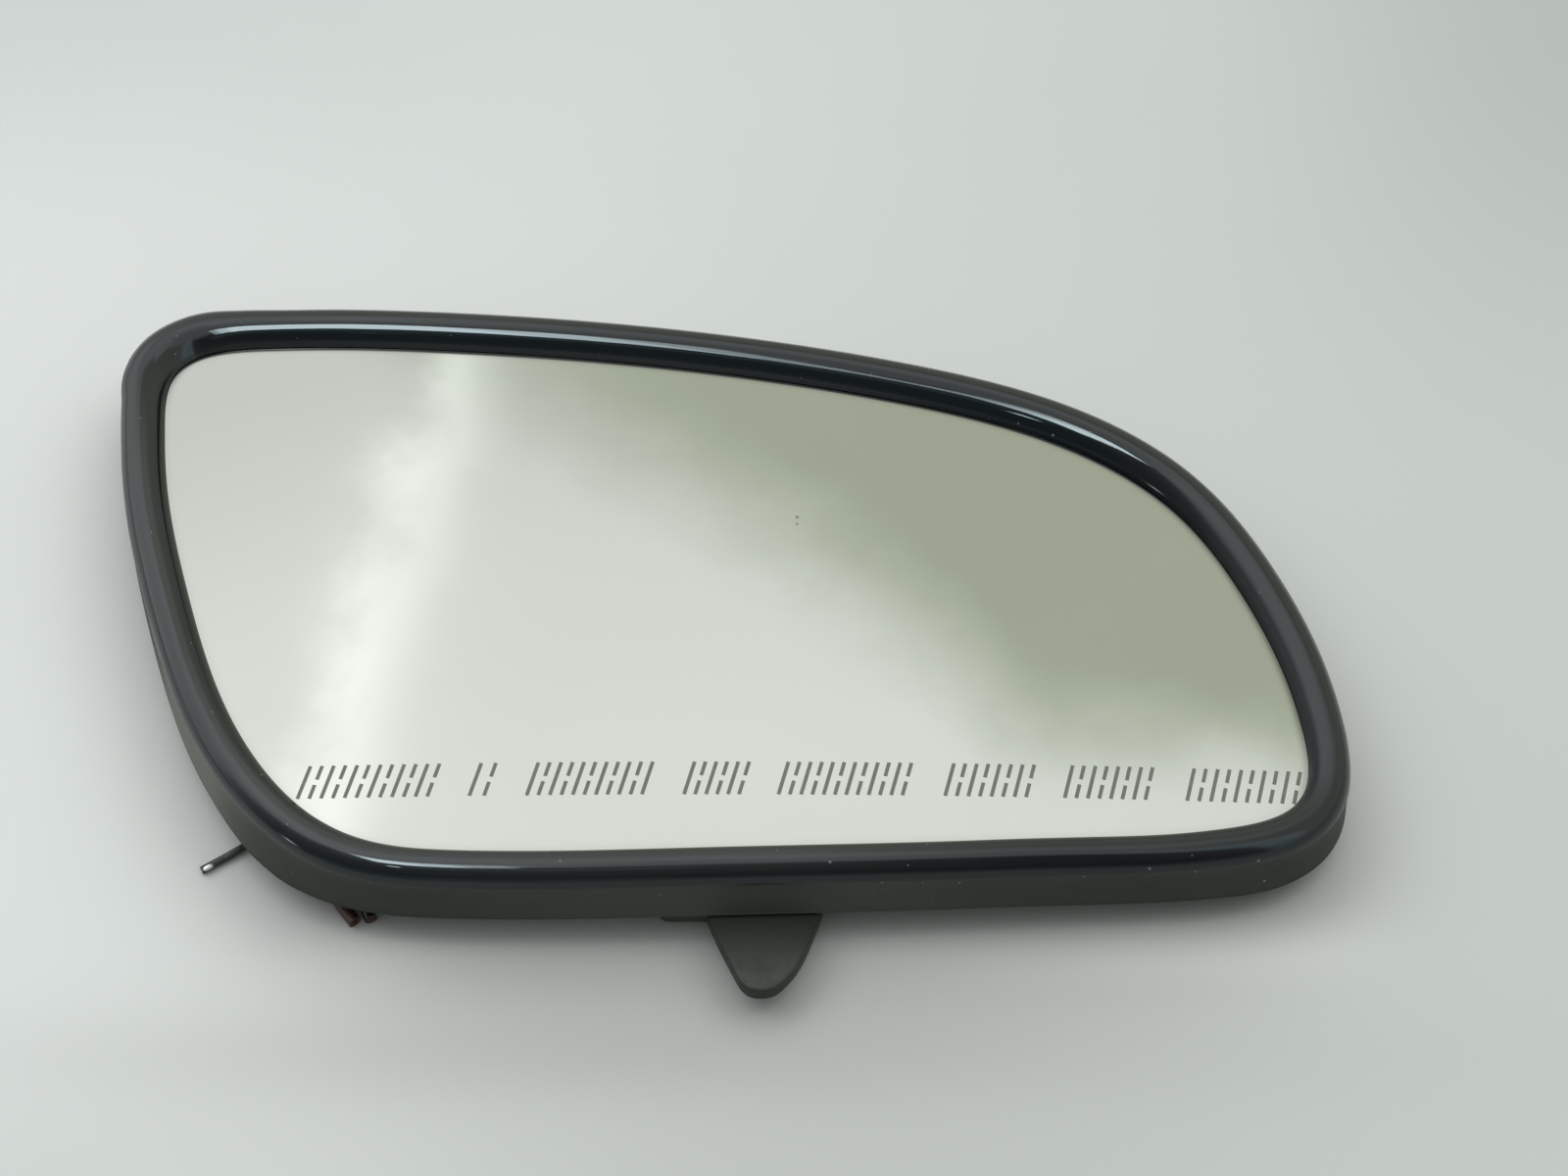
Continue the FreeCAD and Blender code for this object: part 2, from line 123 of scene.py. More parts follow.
class Mat:
    """Small helper that builds one material's node tree."""

    def __init__(self, name):
        self.mat = bpy.data.materials.new(name)
        self.mat.use_nodes = True
        self.t = self.mat.node_tree
        self.bsdf = next(n for n in self.t.nodes if n.type == "BSDF_PRINCIPLED")
        self.tc = self.t.nodes.new("ShaderNodeTexCoord")
        self.obj = self.tc.outputs["Object"]

    def new(self, kind, **props):
        n = self.t.nodes.new(kind)
        for k, v in props.items():
            setattr(n, k, v)
        return n

    def put(self, sock, v):
        if isinstance(v, X):
            v = v.v
        if isinstance(v, bpy.types.NodeSocket):
            self.t.links.new(v, sock)
        elif isinstance(v, (tuple, list)) and len(v) == 3 and sock.type == "RGBA":
            sock.default_value = (*v, 1.0)
        else:
            sock.default_value = v

    def set(self, **kw):
        for k, v in kw.items():
            self.put(self.bsdf.inputs[k.replace("_", " ")], v)
        return self

    def scaled(self, vec, x, y, z):
        n = self.new("ShaderNodeVectorMath", operation="MULTIPLY")
        self.t.links.new(vec, n.inputs[0])
        n.inputs[1].default_value = (x, y, z)
        return n.outputs[0]

    def noise(self, scale, detail=3.0, rough=0.5, vec=None, dist=0.0):
        n = self.new("ShaderNodeTexNoise")
        self.put(n.inputs["Vector"], vec or self.obj)
        n.inputs["Scale"].default_value = scale
        n.inputs["Detail"].default_value = detail
        n.inputs["Roughness"].default_value = rough
        n.inputs["Distortion"].default_value = dist
        return X(self.t, n.outputs["Fac"])

    def voronoi(self, scale, vec=None, feature="F1", rand=1.0):
        n = self.new("ShaderNodeTexVoronoi", feature=feature)
        self.put(n.inputs["Vector"], vec or self.obj)
        n.inputs["Scale"].default_value = scale
        n.inputs["Randomness"].default_value = rand
        col = X(self.t, n.outputs["Color"]) if "Color" in n.outputs else None
        return X(self.t, n.outputs["Distance"]), col

    def red(self, c):
        n = self.new("ShaderNodeSeparateColor")
        self.t.links.new(c.v, n.inputs[0])
        return X(self.t, n.outputs[0]), X(self.t, n.outputs[1]), X(self.t, n.outputs[2])

    def xyz(self, vec=None):
        n = self.new("ShaderNodeSeparateXYZ")
        self.t.links.new(vec or self.obj, n.inputs[0])
        return [X(self.t, o) for o in n.outputs]

    def normal_xyz(self):
        g = self.new("ShaderNodeNewGeometry")
        return self.xyz(g.outputs["Normal"])

    def mix(self, fac, a, b):
        n = self.new("ShaderNodeMix", data_type="RGBA")
        self.put(n.inputs[0], fac)
        self.put(n.inputs[6], a)
        self.put(n.inputs[7], b)
        return n.outputs[2]

    def bump(self, height, strength, distance, normal=None):
        n = self.new("ShaderNodeBump")
        n.inputs["Strength"].default_value = strength
        n.inputs["Distance"].default_value = distance
        self.put(n.inputs["Height"], height)
        if normal is not None:
            self.t.links.new(normal, n.inputs["Normal"])
        return n.outputs["Normal"]

    def attr(self, name):
        n = self.new("ShaderNodeAttribute", attribute_name=name)
        return n.outputs["Vector"]

    def attr_value(self, name):
        n = self.new("ShaderNodeAttribute", attribute_name=name)
        return X(self.t, n.outputs["Fac"])

    def near(self, vec, spot, r0, r1):
        """1 within r0 of the spot, 0 beyond r1."""
        n = self.new("ShaderNodeVectorMath", operation="DISTANCE")
        self.t.links.new(vec, n.inputs[0])
        n.inputs[1].default_value = spot
        return X(self.t, n.outputs["Value"]).step(r1, r0)


# ---- border of the glass and the section of the surround (numbers in mm) --------------------------
BORDER = np.array([
    (80.13, 7.19), (76.26, 13.5), (71.87, 18.81), (66.63, 23.43), (60.51, 27.5), (53.65, 30.99),
    (46.09, 33.95), (37.76, 36.5), (28.39, 38.86), (18.48, 41.05), (8.4, 43.01), (-1.85, 44.76),
    (-12.27, 46.32), (-22.83, 47.7), (-33.54, 48.91), (-44.39, 49.97), (-54.92, 50.83),
    (-64.97, 51.41), (-74.26, 51.62), (-81.63, 51.28), (-86.29, 49.84), (-89.2, 47.03),
    (-90.35, 42.69), (-90.02, 35.84), (-88.84, 26.89), (-87.18, 18.43), (-84.88, 9.64),
    (-81.96, 0.12), (-78.86, -9.11), (-75.69, -17.15), (-72.17, -24.35), (-68.16, -30.78),
    (-63.62, -36.42), (-58.74, -40.88), (-53.58, -43.96), (-47.69, -45.81), (-40.46, -46.74),
    (-31.19, -47.15), (-21.28, -47.23), (-10.71, -47.04), (1.22, -46.69), (13.67, -46.32),
    (25.21, -45.92), (36.2, -45.43), (47.88, -44.78), (58.93, -44.24), (68.17, -43.61),
    (76.24, -42.5), (83.03, -40.84), (87.23, -38.5), (89.8, -34.93), (90.77, -29.98),
    (90.32, -23.3), (88.87, -15.57), (86.64, -7.91), (83.63, -0.14),
])
WIDTH = {0: 6.8, 8: 6.95, 16: 7.2, 24: 7.38, 32: 7.45, 60: 7.45, 100: 7.45, 136: 7.45, 144: 7.85,
         149: 8.85, 152: 9.1, 156: 8.35, 160: 7.3, 168: 7.1, 176: 7.0, 184: 6.95, 192: 6.9, 200: 6.8,
         208: 6.7, 216: 6.65, 224: 6.65, 240: 6.75, 280: 6.9, 320: 6.9, 350: 6.8, 360: 6.6,
         368: 6.4, 376: 6.55, 384: 6.7, 392: 6.75}
FLARE = {0: 0.3, 60: 0.35, 144: 0.35, 160: 0.3, 184: 0.35, 200: 0.5, 214: 0.8, 222: 1.05, 226: 1.34,
         230: 1.6, 234: 1.65, 238: 1.4, 246: 0.95, 256: 0.75, 272: 0.7, 304: 0.65, 340: 0.6,
         348: 0.75, 354: 0.95, 359: 0.7, 366: 0.35, 384: 0.3}
# how much further out the lip's inner slope starts than the border line
EASE = {0: 0.0, 236: 0.0, 250: 0.4, 300: 0.45, 340: 0.4, 356: 0.25, 370: 0.0}
GLASS_R, GLASS_Z = 1400.0, 15.0


def table(s, t):
    """Smooth periodic value of table t at places s."""
    k = sorted(t)
    n = len(k)
    kk = np.array([x - 400.0 for x in k] + [float(x) for x in k] + [x + 400.0 for x in k])
    vv = np.array([t[x] for x in k] * 3, float)
    h = np.diff(kk)
    d = np.diff(vv) / h
    m = np.zeros(len(kk))
    for i in range(1, len(kk) - 1):
        if d[i - 1] * d[i] > 0:
            w1, w2 = 2 * h[i] + h[i - 1], h[i] + 2 * h[i - 1]
            m[i] = (w1 + w2) / (w1 / d[i - 1] + w2 / d[i])
    s = np.mod(s, 400.0)
    i = np.clip(np.searchsorted(kk, s, side="right") - 1, 0, len(kk) - 2)
    a = (s - kk[i]) / h[i]
    return (vv[i] * (2 * a**3 - 3 * a**2 + 1) + m[i] * h[i] * (a**3 - 2 * a**2 + a)
            + vv[i + 1] * (3 * a**2 - 2 * a**3) + m[i + 1] * h[i] * (a**3 - a**2))


def border_spline():
    """Closed cubic spline through BORDER: place 0 to 400 gives a point and its direction."""
    c = np.r_[0, np.cumsum(np.linalg.norm(np.diff(np.vstack([BORDER, BORDER[:1]]), axis=0), axis=1))]
    t = c[:-1] / c[-1] * 400.0
    n = len(t)
    h = np.diff(np.r_[t, 400.0])
    A, B = np.zeros((n, n)), np.zeros((n, 2))
    for i in range(n):
        hm, hp = h[i - 1], h[i]
        A[i, i - 1] += hm / 6
        A[i, i] += (hm + hp) / 3
        A[i, (i + 1) % n] += hp / 6
        B[i] = (BORDER[(i + 1) % n] - BORDER[i]) / hp - (BORDER[i] - BORDER[i - 1]) / hm
    M = np.linalg.solve(A, B)

    def f(x):
        x = np.mod(np.asarray(x, float), 400.0)
        i = np.searchsorted(t, x, side="right") - 1
        j = (i + 1) % n
        hh = h[i]
        a = ((t[i] + hh) - x) / hh
        b = 1 - a
        a, b, hh = a[:, None], b[:, None], hh[:, None]
        v = a * BORDER[i] + b * BORDER[j] + ((a**3 - a) * M[i] + (b**3 - b) * M[j]) * hh**2 / 6
        d = (BORDER[j] - BORDER[i]) / hh + (-(3 * a**2 - 1) * M[i] + (3 * b**2 - 1) * M[j]) * hh / 6
        return v, d

    return f


border = border_spline()


def sphere_z(x, y, r=GLASS_R):
    return GLASS_Z - GLASS_R + np.sqrt(r * r - x * x - y * y)


def cubic(k, Y, x):
    """Natural cubic spline through Y[..., i] at k[i]."""
    n = len(k)
    h = np.diff(k)
    A = np.zeros((n, n))
    A[0, 0] = A[-1, -1] = 1
    R = np.zeros(Y.shape)
    for i in range(1, n - 1):
        A[i, i - 1], A[i, i], A[i, i + 1] = h[i - 1] / 6, (h[i - 1] + h[i]) / 3, h[i] / 6
        R[..., i] = (Y[..., i + 1] - Y[..., i]) / h[i] - (Y[..., i] - Y[..., i - 1]) / h[i - 1]
    M = R @ np.linalg.inv(A).T
    i = np.clip(np.searchsorted(k, x, side="right") - 1, 0, n - 2)
    a = (k[i + 1] - x) / h[i]
    b = 1 - a
    return (a * Y[..., i] + b * Y[..., i + 1]
            + ((a**3 - a) * M[..., i] + (b**3 - b) * M[..., i + 1]) * h[i]**2 / 6)


ROLL = [(0.0, 0.04), (0.25, 0.8), (0.8, 1.7), (1.6, 2.5), (2.6, 3.1), (3.8, 3.4), (5.0, 3.2),
        (6.0, 2.5), (6.7, 1.45), (7.0, 0.2)]
SKIRT = [(0.02, -1.4), (0.22, -3.0), (0.6, -5.1), (1.0, -7.2)]


def arc(c, r, a0, a1, n):
    """Points of a corner's rounding about c."""
    return [(c[0] + r * math.cos(math.radians(a0 + (a1 - a0) * i / (n - 1))),
             c[1] + r * math.sin(math.radians(a0 + (a1 - a0) * i / (n - 1)))) for i in range(n)]


def surround_section(s):
    """Closed section at each place s: outward distance and height above the glass's sphere."""
    W, F, E = table(s, WIDTH), table(s, FLARE), table(s, EASE)
    ns = len(s)
    U = np.zeros((ns, len(ROLL) + len(SKIRT)))
    Vv = np.zeros_like(U)
    for k, (a, b) in enumerate(ROLL):
        U[:, k] = a * W / 7 + E * max(0.0, 1 - a / 2.4)
        Vv[:, k] = b
    for k, (f, b) in enumerate(SKIRT):
        U[:, len(ROLL) + k] = W + f * F
        Vv[:, len(ROLL) + k] = b
    k = np.r_[0, np.cumsum(np.hypot(np.diff(U.mean(0)), np.diff(Vv.mean(0))))]
    x = np.r_[np.linspace(0.22, 4.6, 22)[:-1], np.linspace(4.6, 9.4, 14)[:-1], np.linspace(9.4, k[-1] - 0.45, 16)]
    u1, v1 = cubic(k, U, x), cubic(k, Vv, x)
    cols = []
    # lip's toe, rounded
    toe = [(0.95, 0.04), (0.35, 0.04), (0.14, 0.05), (0.05, 0.1), (0.02, 0.16)]
    for a, b in toe:
        cols.append((E + a, np.full(ns, b)))
    for j in range(len(x)):
        cols.append((u1[:, j], v1[:, j]))
    place = [-a for a, _ in toe] + list(x)
    back = W + F
    for a, b in arc((-0.4, -6.8), 0.4, 0, -90, 6):
        cols.append((back + a, np.full(ns, b)))
    cols.append((back - 0.8, np.full(ns, -7.2)))
    for a, b in arc((-1.2, -6.9), 0.3, -90, -180, 5):
        cols.append((back + a, np.full(ns, b)))
    for q in (0.33, 0.66):
        cols.append(((back - 1.5) * (1 - q) + (W - 1.8) * q, np.full(ns, -6.9 + 1.9 * q)))
    for b in (-5.0, -4.6, -2.6, -0.7, -0.3):
        cols.append((W - 1.8, np.full(ns, b)))
    for a, b in ((5.0, 0.75), (4.75, 1.12), (4.4, 1.35), (4.0, 1.47), (3.6, 1.5), (3.25, 1.3), (3.0, 1.0),
                 (2.87, 0.6), (2.79, 0.2), (2.7, 0.05), (2.5, 0.04)):
        cols.append((a * W / 7, np.full(ns, b)))
    place += [x[-1] + 0.5 * (i + 1) for i in range(len(cols) - len(place))]
    return np.stack([c[0] for c in cols], 1), np.stack([c[1] for c in cols], 1), np.array(place)


def mesh_from(name, co, faces, smooth=True):
    me = bpy.data.meshes.new(name)
    me.from_pydata([tuple(p) for p in co], [], faces)
    me.validate()
    me.update()
    if smooth:
        me.polygons.foreach_set("use_smooth", [True] * len(me.polygons))
    obj = link(bpy.data.objects.new(name, me))
    return obj


def build_surround(ns=760):
    s = np.linspace(0, 400, ns, endpoint=False)
    p, d = border(s)
    d /= np.linalg.norm(d, axis=1, keepdims=True)
    n = np.c_[d[:, 1], -d[:, 0]]
    U, H, across = surround_section(s)
    Xc = p[:, 0:1] + n[:, 0:1] * U
    Yc = p[:, 1:2] + n[:, 1:2] * U
    Zc = sphere_z(Xc, Yc) + H
    m = U.shape[1]
    co = np.stack([Xc, Yc, Zc], -1).reshape(-1, 3) * MM
    faces = []
    for i in range(ns):
        a, b = i * m, ((i + 1) % ns) * m
        for j in range(m):
            k = (j + 1) % m
            faces.append((a + j, b + j, b + k, a + k))
    obj = mesh_from("surround", co, faces)
    # coordinates that follow the surround: round it, and across its section from the lip, in mm
    th = s / 400 * 2 * np.pi
    flow = np.zeros((ns, m, 3), np.float32)
    flow[..., 0] = (84.4 * np.cos(th))[:, None]
    flow[..., 1] = (84.4 * np.sin(th))[:, None]
    flow[..., 2] = across[None, :]
    at = obj.data.attributes.new("flow", "FLOAT_VECTOR", "POINT")
    at.data.foreach_set("vector", flow.reshape(-1))
    return obj


surround = build_surround()
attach(surround, "mirror")
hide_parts("bezel_frame")


def build_snaps():
    """Noses on the surround's inner wall that hold the carrier."""
    co, faces = [], []
    for s in (12, 52, 92, 128, 172, 202, 258, 284, 326, 346, 378):
        p, d = border(np.array([float(s)]))
        p, t = p[0], d[0] / np.linalg.norm(d[0])
        n = np.array([t[1], -t[0]])
        w = float(table(np.array([float(s)]), WIDTH)[0]) - 1.8
        top = float(sphere_z(*(p + n * w))) - 5.2
        a, b = w - 1.3, w + 0.5
        prof = [(a, top - 0.15), (a + 0.25, top), (b, top), (b, top - 1.3), (w - 0.1, top - 1.3)]
        base = len(co)
        for q in (-4, 4):
            for dd, z in prof:
                xy = p + n * dd + t * q
                co.append((xy[0] * MM, xy[1] * MM, z * MM))
        k = len(prof)
        faces.append(tuple(base + i for i in range(k)))
        faces.append(tuple(base + k + i for i in reversed(range(k))))
        for i in range(k):
            j = (i + 1) % k
            faces.append((base + i, base + k + i, base + k + j, base + j))
    obj = mesh_from("snap_noses", co, faces, smooth=False)
    me = obj.data
    import bmesh
    bm = bmesh.new()
    bm.from_mesh(me)
    bmesh.ops.recalc_face_normals(bm, faces=bm.faces)
    bm.to_mesh(me)
    bm.free()
    bev = obj.modifiers.new("edges", "BEVEL")
    bev.width = 0.12 * MM
    bev.segments = 2
    return obj


snaps = build_snaps()
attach(snaps, "mirror")

# ---- glass ---------------------------------------------------------------------------------------


def build_glass(ns=400, rings=16):
    """Plate with a ground edge: front sphere, back sphere 2 mm behind."""
    s = np.linspace(0, 400, ns, endpoint=False)
    p, d = border(s)
    d /= np.linalg.norm(d, axis=1, keepdims=True)
    n = np.c_[d[:, 1], -d[:, 0]]
    cx, cy = 0.0, 2.0
    rows, painted_lip_shade = [], []
    # painted shade: the lip keeps the light off a narrow strip of the silvering, most of all along the upper edge, and
    # that strip is painted darker
    side = 0.12 + 0.88 * np.clip((n[:, 1] + 0.1) / 0.5, 0, 1) + 0.4 * np.clip((n[:, 0] - 0.75) / 0.2, 0, 1)
    side = np.clip(side, 0, 1)

    def loop(out, r, dz=0.0):
        q = p + n * out
        rows.append(np.c_[q, sphere_z(q[:, 0], q[:, 1], r) + dz])
        painted_lip_shade.append(side * 0.64 * math.exp(-(max(0.0, -out) / 0.75) ** 2))

    def fill(r, order):
        q = p - n * 4.0
        for k in order:
            f = (k / rings) ** 0.85
            x = cx + (q[:, 0] - cx) * f
            y = cy + (q[:, 1] - cy) * f
            rows.append(np.c_[x, y, sphere_z(x, y, r)])
            painted_lip_shade.append(np.zeros(ns))

    fill(GLASS_R, range(1, rings + 1))
    for out in (-3.0, -2.2, -1.7, -1.4, -1.15, -0.9, -0.7, -0.5, -0.3, -0.1, 0.2, 0.9, 1.5, 2.0):
        loop(out, GLASS_R)
    front = len(rows)
    loop(2.22, GLASS_R, -0.06)
    loop(2.36, GLASS_R, -0.2)
    loop(2.4, GLASS_R, -0.42)
    loop(2.4, GLASS_R, -1.6)
    loop(2.34, GLASS_R, -1.86)
    loop(2.18, GLASS_R - 2.0, 0.0)
    loop(2.0, GLASS_R - 2.0)
    loop(-1.0, GLASS_R - 2.0)
    fill(GLASS_R - 2.0, range(rings, 0, -1))
    co = np.concatenate(rows)
    nr = len(rows)
    co = np.vstack([co, [cx, cy, float(sphere_z(cx, cy))], [cx, cy, float(sphere_z(cx, cy, GLASS_R - 2.0))]])
    faces = []
    for k in range(nr - 1):
        a, b = k * ns, (k + 1) * ns
        for i in range(ns):
            j = (i + 1) % ns
            faces.append((a + i, b + i, b + j, a + j))
    top, bot = nr * ns, nr * ns + 1
    for i in range(ns):
        j = (i + 1) % ns
        faces.append((top, i, j))
        faces.append((bot, (nr - 1) * ns + j, (nr - 1) * ns + i))
    obj = mesh_from("mirror_plate", co * MM, faces)
    at = obj.data.attributes.new("painted_lip_shade", "FLOAT", "POINT")
    at.data.foreach_set("value", np.r_[np.concatenate(painted_lip_shade), 0, 0].astype(np.float32))
    idx = np.zeros(len(faces), np.int32)
    idx[(front - 1) * ns:(nr - 1) * ns] = 1          # edge and back
    idx[(nr - 1) * ns + 1::2] = 1
    return obj, idx


plate, plate_idx = build_glass()
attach(plate, "mirror")
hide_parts("mirror_glass")

# ---- leads ---------------------------------------------------------------------------------------
BLACK = [(-43.5, -15.5, 6.6), (-43.5, -21.8, 6.6), (-45.3, -28.4, 4.7), (-48.9, -34.9, 2.3),
         (-52.2, -40.8, 1.1), (-52.9, -46.2, 1.0), (-50.6, -51.4, 1.0)]
BROWN = [(-52.6, -15.5, 6.5), (-52.6, -21.6, 6.5), (-54.2, -28.4, 4.7), (-57.2, -35.2, 2.3),
         (-58.3, -41.3, 1.05), (-57.0, -47.0, 1.0), (-53.0, -51.9, 1.0)]
THIN = [(-60.4, -15.5, 6.5), (-60.4, -21.2, 6.5), (-61.9, -27.6, 4.2), (-65.4, -33.7, 1.7),
        (-70.6, -38.5, 0.66), (-77.1, -42.6, 0.6)]


def build_lead(name, route, d):
    cu = bpy.data.curves.new(name, "CURVE")
    cu.dimensions = "3D"
    sp = cu.splines.new("NURBS")
    sp.points.add(len(route) - 1)
    for q, c in zip(sp.points, route):
        q.co = (c[0] * MM, c[1] * MM, c[2] * MM, 1.0)
        q.radius = d / 2 * MM
    sp.order_u = 3
    sp.use_endpoint_u = True
    sp.resolution_u = 24
    cu.bevel_depth = 1.0
    cu.bevel_resolution = 8
    cu.use_fill_caps = True
    obj = link(bpy.data.objects.new(name, cu))
    return obj


def strands(name, end, prev, r_all, r_one, counts, reach, seed):
    """Cut conductor: round strands side by side that stand out of the insulation's cut face."""
    end, prev = Vector(end), Vector(prev)
    ax = (end - prev).normalized()
    side = ax.orthogonal().normalized()
    up = ax.cross(side)
    rng = np.random.default_rng(seed)
    co, faces = [], []
    spots = []
    for ring, cnt in enumerate(counts):
        rr = 0.0 if cnt == 1 else r_all * ring / (len(counts) - 1)
        for i in range(cnt):
            a = 2 * math.pi * i / cnt + 0.4 * ring
            spots.append((rr * math.cos(a), rr * math.sin(a)))
    for cx, cy in spots:
        out = reach[0] + (reach[1] - reach[0]) * rng.random()
        tilt = (rng.random(2) - 0.5) * 0.25
        base = len(co)
        k = 8
        prof = [(-0.7, r_one), (0.0, r_one), (out - 0.05, r_one), (out, r_one * 0.6)]
        for z, r in prof:
            c = end + ax * z + side * (cx + tilt[0] * max(z, 0)) + up * (cy + tilt[1] * max(z, 0))
            for j in range(k):
                a = 2 * math.pi * j / k
                q = c + side * (r * math.cos(a)) + up * (r * math.sin(a))
                co.append(tuple(v * MM for v in q))
        for z in range(len(prof) - 1):
            for j in range(k):
                jj = (j + 1) % k
                faces.append((base + z * k + j, base + z * k + jj, base + (z + 1) * k + jj, base + (z + 1) * k + j))
        faces.append(tuple(base + j for j in reversed(range(k))))
        faces.append(tuple(base + (len(prof) - 1) * k + j for j in range(k)))
    return mesh_from(name, co, faces)


def bared(name, end, prev):
    """Conductor laid bare on the flank of the lead's end, where the cut runs slantwise."""
    end, prev = Vector(end), Vector(prev)
    ax = (end - prev).normalized()
    out = Vector((0.35, -0.62, 0.72))
    out = (out - ax * out.dot(ax)).normalized()
    side = ax.cross(out)
    mid = end - ax * 1.05 + out * 0.29
    co, faces = [], []
    rows, cols = 14, 20
    rng = np.random.default_rng(8)
    for i in range(rows + 1):
        a = math.pi * i / rows
        for j in range(cols):
            b = 2 * math.pi * j / cols
            r = 0.43 * math.sin(a) ** 0.8 * (1 + 0.05 * math.cos(6 * b))
            q = mid + ax * (-1.12 * math.cos(a)) + out * (r * math.cos(b)) + side * (r * math.sin(b))
            co.append(tuple(v * MM for v in q))
    for i in range(rows):
        for j in range(cols):
            jj = (j + 1) % cols
            faces.append((i * cols + j, i * cols + jj, (i + 1) * cols + jj, (i + 1) * cols + j))
    obj = mesh_from(name, co, faces)
    import bmesh
    bm = bmesh.new()
    bm.from_mesh(obj.data)
    bmesh.ops.remove_doubles(bm, verts=bm.verts, dist=1e-7)
    bmesh.ops.recalc_face_normals(bm, faces=bm.faces)
    bm.to_mesh(obj.data)
    bm.free()
    return obj


black = build_lead("black_lead", BLACK, 2.0)
brown = build_lead("brown_lead", BROWN, 2.0)
thin = build_lead("thin_lead", THIN, 1.2)
black_core = strands("black_core", BLACK[-1], BLACK[-2], 0.46, 0.115, (1, 6, 12), (0.03, 0.2), 3)
brown_core = strands("brown_core", BROWN[-1], BROWN[-2], 0.46, 0.115, (1, 6, 12), (0.03, 0.2), 5)
thin_core = bared("thin_core", THIN[-1], THIN[-2])
for piece, core, node, length, dia, route, slot in (
        (black, black_core, "black_wire", 0.0393, 0.002, BLACK, "black_insulation"),
        (brown, brown_core, "brown_wire", 0.0393, 0.002, BROWN, "brown_insulation"),
        (thin, thin_core, "thin_wire", 0.0348, 0.0012, THIN, "dark_insulation")):
    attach(piece, "mirror")
    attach(core, "mirror")
    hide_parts(node)
    tuple(c * MM for c in route[0])

# ---- etched marks along the glass's lower edge ----------------------------------------------------
GROUPS = [(-61.4, -40.4), (-35.6, -31.9), (-27.0, -8.3), (-3.5, 6.2), (10.6, 30.6), (35.5, 49.1),
          (53.4, 67.0), (71.8, 91.2)]


def build_marks():
    """Plain slanted hatch in eight groups, as thin as an etched film."""
    co, faces = [], []
    lift = 0.012

    def stroke(x0, y0, x1, y1, w):
        dx, dy = x1 - x0, y1 - y0
        n = math.hypot(dx, dy)
        dx, dy = dx / n, dy / n
        px, py = -dy * w / 2, dx * w / 2
        steps = 5
        base = len(co)
        out = []
        for k in range(steps + 1):
            f = k / steps
            for sgn in (-1, 1):
                x, y = x0 + (x1 - x0) * f + sgn * px, y0 + (y1 - y0) * f + sgn * py
                out.append((x, y, float(sphere_z(x, y)) + lift))
        low = [(x, y, z - lift * 1.6) for x, y, z in out]
        co.extend((x * MM, y * MM, z * MM) for x, y, z in out + low)
        k2 = len(out)
        for k in range(steps):
            a = base + 2 * k
            faces.append((a, a + 1, a + 3, a + 2))
            b = a + k2
            faces.append((b, b + 2, b + 3, b + 1))
            faces.append((a, a + 2, b + 2, b))
            faces.append((a + 1, b + 1, b + 3, a + 3))
        a, b = base, base + k2
        faces.append((a, b, b + 1, a + 1))
        a, b = base + 2 * steps, base + 2 * steps + k2
        faces.append((a, a + 1, b + 1, b))

    h, lean = 5.7, 1.5
    for g, (x0, x1) in enumerate(GROUPS):
        span = x1 - x0 - lean
        cnt = max(2, int(round(span / 1.72)) + 1)
        for i in range(cnt):
            x = x0 + span * i / (cnt - 1)
            y = -34.9 - h / 2
            if i % 2 == 0:
                stroke(x, y, x + lean, y + h, 0.58)
            else:
                stroke(x, y, x + lean * 0.42, y + h * 0.42, 0.58)
                stroke(x + lean * 0.58, y + h * 0.58, x + lean, y + h, 0.58)
    return mesh_from("etched_hatch", co, faces, smooth=False)


marks = build_marks()
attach(marks, "mirror")


